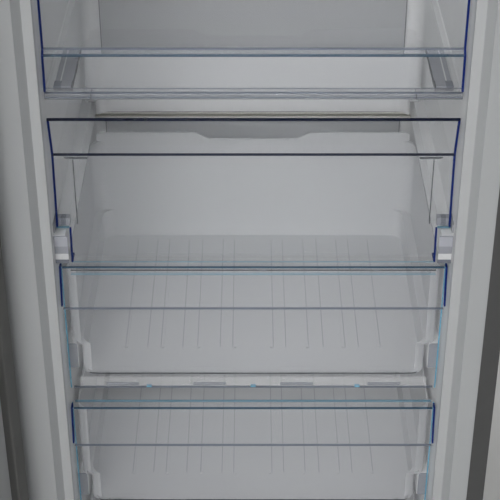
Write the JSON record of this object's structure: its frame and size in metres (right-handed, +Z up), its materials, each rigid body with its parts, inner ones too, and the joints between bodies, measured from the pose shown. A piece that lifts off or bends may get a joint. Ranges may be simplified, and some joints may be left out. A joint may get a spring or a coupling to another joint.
{
  "type": "upright freezer",
  "caption": "Free-standing no-frost upright freezer with an open hinged door, clear flaps, glass shelves and clear pull-out drawers.",
  "frame": {"origin": "on the floor, under the middle of the cabinet's front plane", "axes": "+X right as seen from the front, +Y into the cabinet, +Z up"},
  "size_m": [0.9122, 1.1607, 1.632],
  "materials": {
    "casing_steel": "satin dark grey powder coat",
    "galvanised": "galvanised sheet",
    "liner_plastic": "smooth white thermoformed polystyrene",
    "foam": "rigid polyurethane foam",
    "dark_plastic": "fine-grained moulded plastic",
    "white_plastic": "moulded white plastic",
    "cream_trim": "moulded pale grey plastic",
    "grey_trim": "moulded grey plastic",
    "clear_plastic": "clear polystyrene, polished",
    "shelf_glass": "toughened float glass",
    "black_metal": "black enamel",
    "aluminium": "mill finish fins and tube",
    "steel": "zinc-plated steel",
    "copper": "drawn copper tube",
    "rubber": "soft black rubber",
    "gasket": "soft grey magnetic seal",
    "handle_metal": "brushed aluminium",
    "board": "circuit board"
  },
  "bodies": {
    "cabinet": {"outer_casing": "casing_steel", "back_panel": "galvanised", "liner": "liner_plastic", "foam_insulation": "foam", "base_pan": "galvanised", "front_crossbar": "casing_steel", "kick_plinth": "dark_plastic", "compressor_support": "galvanised", "rubber_mounts": "rubber", "compressor": "black_metal", "terminal_box": "dark_plastic", "condensate_tray": "dark_plastic", "rear_bay_cover": "dark_plastic", "cord_gland": "rubber", "condenser": "black_metal", "discharge_line": "copper", "evaporator_cover": "white_plastic", "evaporator": "aluminium", "defrost_heater": "steel", "drain_trough": "white_plastic", "fan_housing": "white_plastic", "temperature_sensor": "white_plastic", "drawer_shelf_glass": "shelf_glass", "flap_shelf_glass": "shelf_glass", "shelf_front_trims": "clear_plastic", "rear_shelf_trim": "cream_trim", "shelf_side_strips": "grey_trim", "drawer_stop_clips": "grey_trim", "upper_hinge": "steel", "lower_hinge": "steel", "hinge_screws": "steel", "hinge_cover": "dark_plastic"},
    "door": {"door_skin": "casing_steel", "door_end_caps": "dark_plastic", "door_liner": "liner_plastic", "door_foam": "foam", "door_gasket": "gasket", "door_handle": "handle_metal", "handle_mounts": "handle_metal", "control_panel": "dark_plastic", "control_board": "board"},
    "button_power": {"button_power": "white_plastic"},
    "button_colder": {"button_colder": "white_plastic"},
    "button_fast_freeze": {"button_fast_freeze": "white_plastic"},
    "flap_1": {"flap_1": "clear_plastic"},
    "flap_2": {"flap_2": "clear_plastic"},
    "flap_3": {"flap_3": "clear_plastic"},
    "drawer_1": {"drawer_1_tub": "clear_plastic", "drawer_1_front": "clear_plastic"},
    "drawer_2": {"drawer_2_tub": "clear_plastic", "drawer_2_front": "clear_plastic"},
    "drawer_3": {"drawer_3_tub": "clear_plastic", "drawer_3_front": "clear_plastic"},
    "drawer_4": {"drawer_4_tub": "clear_plastic", "drawer_4_front": "clear_plastic"},
    "fan": {"fan_rotor": "dark_plastic"},
    "foot_left": {"foot_left": "dark_plastic"},
    "foot_right": {"foot_right": "dark_plastic"},
    "roller_left": {"rear_roller_left": "dark_plastic"},
    "roller_right": {"rear_roller_right": "dark_plastic"}
  },
  "joints": [
    {"name": "door_hinge", "type": "hinge", "parent": "cabinet", "child": "door", "pos_m": [-0.292, -0.022, 0.84], "axis": [0, 0, 1], "range_deg": [-15, 115]},
    {"name": "button_power_press", "type": "slide", "parent": "door", "child": "button_power", "axis": [0.9063, -0.4226, 0], "range_m": [0, 0.0015], "stiffness_N_per_m": 500, "springref_m": -0.0004},
    {"name": "button_colder_press", "type": "slide", "parent": "door", "child": "button_colder", "axis": [0.9063, -0.4226, 0], "range_m": [0, 0.0015], "stiffness_N_per_m": 500, "springref_m": -0.0004},
    {"name": "button_fast_freeze_press", "type": "slide", "parent": "door", "child": "button_fast_freeze", "axis": [0.9063, -0.4226, 0], "range_m": [0, 0.0015], "stiffness_N_per_m": 500, "springref_m": -0.0004},
    {"name": "flap_1_hinge", "type": "hinge", "parent": "cabinet", "child": "flap_1", "pos_m": [0.007, 0.052, 1.106], "axis": [1, 0, 0], "range_deg": [-85, 0]},
    {"name": "flap_2_hinge", "type": "hinge", "parent": "cabinet", "child": "flap_2", "pos_m": [0.007, 0.052, 1.318], "axis": [1, 0, 0], "range_deg": [-85, 0]},
    {"name": "flap_3_hinge", "type": "hinge", "parent": "cabinet", "child": "flap_3", "pos_m": [0.007, 0.052, 1.53], "axis": [1, 0, 0], "range_deg": [-85, 0]},
    {"name": "drawer_1_slide", "type": "slide", "parent": "cabinet", "child": "drawer_1", "axis": [0, 1, 0], "range_m": [-0.28, 0]},
    {"name": "drawer_2_slide", "type": "slide", "parent": "cabinet", "child": "drawer_2", "axis": [0, 1, 0], "range_m": [-0.28, 0]},
    {"name": "drawer_3_slide", "type": "slide", "parent": "cabinet", "child": "drawer_3", "axis": [0, 1, 0], "range_m": [-0.28, 0]},
    {"name": "drawer_4_slide", "type": "slide", "parent": "cabinet", "child": "drawer_4", "axis": [0, 1, 0], "range_m": [-0.18, 0]},
    {"name": "fan_spin", "type": "hinge", "parent": "cabinet", "child": "fan", "pos_m": [0.007, 0.462, 0.72], "axis": [0, 1, 0], "continuous": true},
    {"name": "foot_left_screw", "type": "hinge", "parent": "cabinet", "child": "foot_left", "pos_m": [-0.25, 0.045, 0], "axis": [0, 0, 1], "continuous": true},
    {"name": "foot_right_screw", "type": "hinge", "parent": "cabinet", "child": "foot_right", "pos_m": [0.25, 0.045, 0], "axis": [0, 0, 1], "continuous": true},
    {"name": "roller_left_spin", "type": "hinge", "parent": "cabinet", "child": "roller_left", "pos_m": [-0.262, 0.545, 0.02], "axis": [1, 0, 0], "continuous": true},
    {"name": "roller_right_spin", "type": "hinge", "parent": "cabinet", "child": "roller_right", "pos_m": [0.262, 0.545, 0.02], "axis": [1, 0, 0], "continuous": true}
  ]
}
